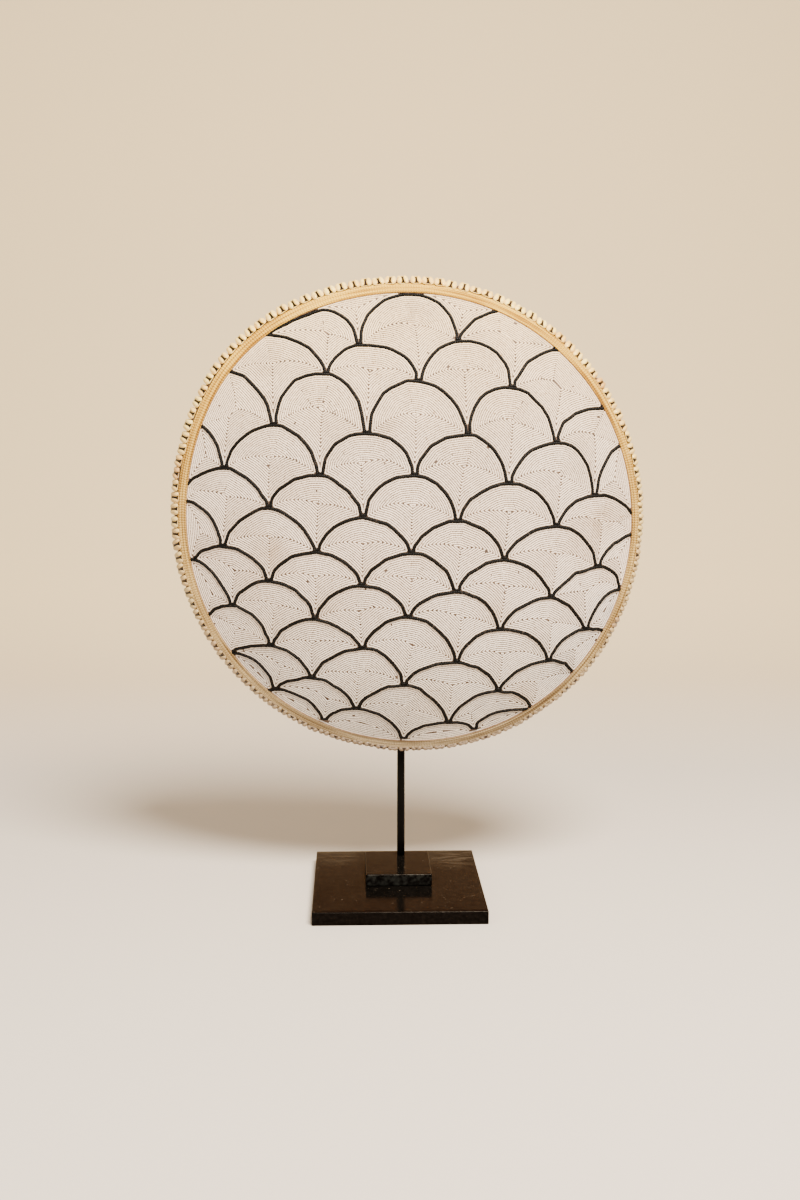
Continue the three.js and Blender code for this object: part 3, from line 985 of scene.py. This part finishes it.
def cowries():
    template, faces, ends, (groove, flank, filling) = cowrie_template()
    turns = math.radians(SHELL_FIRST) + np.arange(SHELLS) * 2 * math.pi / SHELLS
    turns = turns + dice.normal(0, SHELL_STRAY["turn"], SHELLS)
    outward, onward, backward = ring_axes(turns)
    reach = shell_reach(turns) + SHELL_PROUD["all"] + SHELL_PROUD["sides"] * abs(np.sin(turns))
    reach += SHELL_PROUD["low"] * np.clip(-np.cos(turns), 0, 1)
    lean = np.interp(reach, SHELL_LEAN["reach"], SHELL_LEAN["degrees"])
    lean = np.radians(lean + dice.normal(0, SHELL_STRAY["lean"], SHELLS))[:, None]
    sine = np.sin(lean)
    cosine = np.cos(lean)
    up = outward * cosine - backward * sine
    along = outward * sine + backward * cosine
    stand = np.hypot(COWRIE["long"] * sine, COWRIE["high"] * cosine)[:, 0]
    depth = np.hypot(COWRIE["long"] * cosine, COWRIE["high"] * sine)[:, 0]
    radius = band_radius(turns) + band_half_width(turns) + reach - stand
    radius += dice.normal(0, SHELL_STRAY["out"], SHELLS)
    origins = radius[:, None] * outward + (depth - 1.6)[:, None] * backward
    twist = np.radians(dice.normal(0, SHELL_STRAY["twist"], SHELLS))[:, None]
    wide = onward * np.cos(twist) + along * np.sin(twist)
    long = along * np.cos(twist) - onward * np.sin(twist)
    sizes = 1 + dice.normal(0, SHELL_STRAY["size"], (SHELLS, 3))
    stands = np.interp(reach, SHELL_STANDS, [0, 1])[:, None]
    points, quads = repeated(template, faces, origins, (wide, long, up), sizes)
    points += (((1 - stands) * filling)[:, :, None] * up[:, None]).reshape(-1, 3)
    caps = [repeated(template, end, origins, (wide, long, up), sizes)[1] for end in ends]
    piece = new_piece(
        "cowrie_shells", points, [quads[:, ::-1], *caps], [shell_material()],
        replaces=["cowrie_ring"])
    add_tones(piece, 0.62, 0.25, len(template))
    # How strongly the painted shade shows in each slot and on the flanks
    slot_shade = stands + (1 - stands) * dice.uniform(0.45, 0.95, (SHELLS, 1))
    flank_shade = 0.75 + 0.25 * stands
    add_values(piece, "groove", np.maximum(slot_shade * groove, flank_shade * flank).ravel())


def shell_shade_strip():
    """The dark strip round the band that the shells are sewn to, made near-black as painted shade
    in the gaps between them. It puckers up between them so that this painted shade shows there."""
    turns = whole_turn(SHELLS * 12)
    radius = band_radius(turns) + band_half_width(turns) + GAP
    section = np.array([(0, 0.6), (0.5, 1.0), (0.9, 2.4), (0.9, 9), (0, 10)])
    from_shell = SHELLS * (turns - math.radians(SHELL_FIRST))
    pucker = shell_reach(turns) * 0.34 * np.clip(-np.cos(from_shell), 0, 1) ** 4
    section = np.repeat(section[None], len(turns), 0)
    section[:, 1:4, 0] += pucker[:, None] * [0.5, 1.0, 1.0]
    points, faces = swept_ring(turns, radius, section)
    # Painted shade: a near-black colour for the gaps between the shells
    material = thread_material("strip_shade_cloth", (0.03, 0.015, 0.009), (0.10, 0.05, 0.03))
    new_piece("shell_shade_strip", points, faces[:, ::-1], material)


# Boxes with rounded edges, drawn as six grids
def rounded_box(size, radius, step):
    half = np.array(size) / 2
    points = []
    faces = []
    for axis in range(3):
        for side in (-1, 1):
            one, other = [i for i in range(3) if i != axis]
            lines = []
            for i in (one, other):
                count = max(2, int(size[i] / step))
                inner = np.linspace(-half[i] + radius, half[i] - radius, count)
                edge = half[i] - radius * np.array([0, 0.12, 0.35, 0.65])
                lines.append(np.concatenate([-edge, inner, edge[::-1]]))
            u, v = np.meshgrid(*lines, indexing="ij")
            grid = np.zeros((u.size, 3))
            grid[:, axis] = side * half[axis]
            grid[:, one] = u.ravel()
            grid[:, other] = v.ravel()
            quads = grid_faces(len(lines[0]), len(lines[1])) + sum(len(p) for p in points)
            flipped = (side > 0) == (axis == 1)
            faces.append(quads[:, ::-1] if flipped else quads)
            points.append(grid)
    points = np.concatenate(points)
    core = np.clip(points, radius - half, half - radius)
    away = points - core
    length = np.linalg.norm(away, axis=1, keepdims=True)
    return core + away / np.maximum(length, 1e-9) * radius, np.concatenate(faces)


def welded(piece):
    mesh = bmesh.new()
    mesh.from_mesh(piece.data)
    bmesh.ops.remove_doubles(mesh, verts=mesh.verts, dist=1e-6)
    bmesh.ops.recalc_face_normals(mesh, faces=mesh.faces)
    mesh.to_mesh(piece.data)
    mesh.free()


def uneven(points, size, amount, seed):
    """Moves points by smooth noise of about that size, the same on every run."""
    moved = points.copy()
    for i, point in enumerate(points):
        moved[i] += amount * np.array(noise.noise_vector(Vector(point / size + seed)))
    return moved


def stand_slab(name, box, step, size, amount, material, node):
    points, faces = rounded_box(box["size"], box["round"], step)
    wavy = uneven(points, size, amount, 3.7)
    wavy[:, 2] = points[:, 2]
    welded(new_piece(
        name, wavy, faces, material,
        replaces=[node], place=np.array(box["middle"])))


# The rod and what it holds
def stand_rod():
    """The rod bends forward under the lath, and up again in front of it."""
    around = 28
    bend = HOOK["bend"]
    start = MIDDLE[2] + SLAT["z"] - SLAT["height"] / 2 - 2 * bend
    tip_y = ROD["y"] - 2 * bend
    turns = np.linspace(0, math.pi / 2, 10)
    first = np.stack([ROD["y"] - bend * (1 - np.cos(turns)), start + bend * np.sin(turns)], 1)
    second = np.stack([tip_y + bend * (1 - np.sin(turns)), start + bend * (2 - np.cos(turns))], 1)
    straight = np.linspace([ROD["y"], ROD["bottom"]], [ROD["y"], start], 24)
    tip_z = start + 2 * bend
    tip = np.linspace([tip_y, tip_z], [tip_y, tip_z + HOOK["tip"]], 6)
    route = np.concatenate([straight, first[1:], second[1:], tip[1:]])
    path = np.stack([np.full(len(route), ROD["x"]), route[:, 0], route[:, 1]], 1)
    forward = unit(np.gradient(path, axis=0))
    sides = unit(np.cross(forward, [1.0, 0, 0]))
    section = ring_of(ROD["radius"], around)
    points, faces = swept(path, sides, np.cross(forward, sides), section)
    new_piece(
        "stand_rod_round", points, [faces[:, ::-1], *end_faces(around, len(path))],
        rod_material(), replaces=["stand_rod"], place=np.zeros(3))


def back_lath():
    low, high = [np.array(corner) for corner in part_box("back_slat")]
    points, faces = rounded_box((high - low) * 1000, SLAT["round"], 5)
    points = uneven(points, 22, 0.5, 9.1)
    middle = (low + high) / 2 * 1000
    welded(new_piece(
        "back_lath", points, faces, wood_material(),
        replaces=["back_slat"], place=middle))


def lashings():
    """Cord tied round the lath: crossed over the rod's tip, and round both its ends."""
    turns = whole_turn(40)
    circle = np.stack([np.cos(turns), np.sin(turns)], 1)
    ring = np.sign(circle) * np.abs(circle) ** 0.55
    loops = []
    rod_x = ROD["x"] - MIDDLE[0]
    for slope in (-1, 1):
        for shift in (-CORD["pitch"], 0, CORD["pitch"]):
            middle = np.array([rod_x + shift, 5.0, SLAT["z"]])
            loops.append((middle, np.array([0.62 * slope, 0, 0.78]), *CORD["crossed"]))
    low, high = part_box("back_slat")
    inset = 9
    for end in (low[0] * 1000 - MIDDLE[0] + inset, high[0] * 1000 - MIDDLE[0] - inset):
        for shift in np.arange(-4, 4.1, CORD["pitch"]):
            middle = np.array([end + shift, SLAT["front"] + SLAT["thick"] / 2, SLAT["z"]])
            loops.append((middle, np.array([0.04, 0, 1.0]), *CORD["round"]))
    points = []
    faces = []
    for middle, lean, high_half, deep_half in loops:
        path = middle + ring[:, :1] * unit(lean) * high_half
        path = path + ring[:, 1:] * np.array([0, deep_half, 0])
        forward = unit(np.roll(path, -1, 0) - np.roll(path, 1, 0))
        sides = np.broadcast_to(np.cross(unit(lean), [0, 1, 0]), path.shape)
        section = ring_of(CORD["radius"], 7)
        made, quads = swept(path, sides, np.cross(forward, sides), section, closed=True)
        faces.append(quads + sum(len(p) for p in points))
        points.append(made)
    material = thread_material("lashing_cord", (0.30, 0.19, 0.10), (0.55, 0.40, 0.24))
    welded(new_piece(
        "lath_lashings", np.concatenate(points), np.concatenate(faces), material))


# The stage
def backdrop():
    """A pale floor that curves up behind."""
    bend = 1.2
    turns = np.linspace(0.1, math.pi / 2, 16)
    flat = np.linspace(-4, bend, 10)
    depth = np.concatenate([flat, bend + bend * np.sin(turns), [2 * bend]])
    rise = np.concatenate([0 * flat, bend * (1 - np.cos(turns)), [5]])
    width = np.linspace(-5, 5, 3)
    points = np.array([(x, y, z) for y, z in zip(depth, rise) for x in width])
    mesh = bpy.data.meshes.new("floor")
    mesh.from_pydata(points.tolist(), [], grid_faces(len(depth), len(width)).tolist())
    mesh.shade_smooth()
    floor = linked("floor", mesh)
    material, tree = new_material("floor_paper", (0.8, 0.7, 0.6), 0.9)
    back = axis_of(tree, placed(tree, (0.5, 0.5, 0.5)), "Y")
    colour = ramp(tree, back, [(0.25, (0.60, 0.53, 0.45)), (0.85, (1.0, 0.79, 0.47))])
    mesh.materials.append(finished(material, colour, bump=(speckle(tree, 200.0), 0.0002)))


def area_light(name, place, target, size, power, colour):
    data = bpy.data.lights.new(name, "AREA")
    data.shape = "DISK"
    data.size = size
    data.energy = power
    data.color = colour
    lamp = linked(name, data)
    lamp.location = place
    lamp.rotation_euler = (Vector(target) - Vector(place)).to_track_quat("-Z", "Y").to_euler()


def lights():
    middle = MIDDLE / 1000
    area_light("key", (0.52, -1.15, 2.0), middle, 1.0, 200, (1.0, 0.92, 0.82))
    area_light("fill", (-1.8, -1.5, 0.9), middle, 1.8, 26, (1.0, 0.97, 0.93))
    world = bpy.data.worlds.new("soft_room")
    world.use_nodes = True
    sky = world.node_tree.nodes["Background"]
    sky.inputs["Color"].default_value = (1.0, 0.93, 0.84, 1)
    sky.inputs["Strength"].default_value = 0.62
    bpy.context.scene.world = world


def camera():
    data = bpy.data.cameras.new("camera")
    data.lens = EYE["lens"]
    data.sensor_width = 36
    eye = linked("camera", data)
    eye.location = EYE["place"]
    eye.rotation_euler = [math.radians(angle) for angle in EYE["turned"]]
    bpy.context.scene.camera = eye


# Everything is made here
strings = string_paths()
shield_dish()
white_beads(strings)
black_beads(strings)
rim_band()
edge_shade_thread()
cowries()
shell_shade_strip()
back_lath()
lashings()
stand_rod()
plate_lacquer = lacquer_material("plate_lacquer", 0.06, (0.009, 0.0072, 0.006), DUSTY_CORNERS)
stand_slab("plate_slab", PLATE, 6, 60, 0.12, plate_lacquer, "base_plate")
block_lacquer = lacquer_material("block_lacquer", 0.02, (0.03, 0.03, 0.026))
stand_slab("block_slab", BLOCK, 1.6, 3.2, 0.15, block_lacquer, "base_block")
backdrop()
lights()
camera()
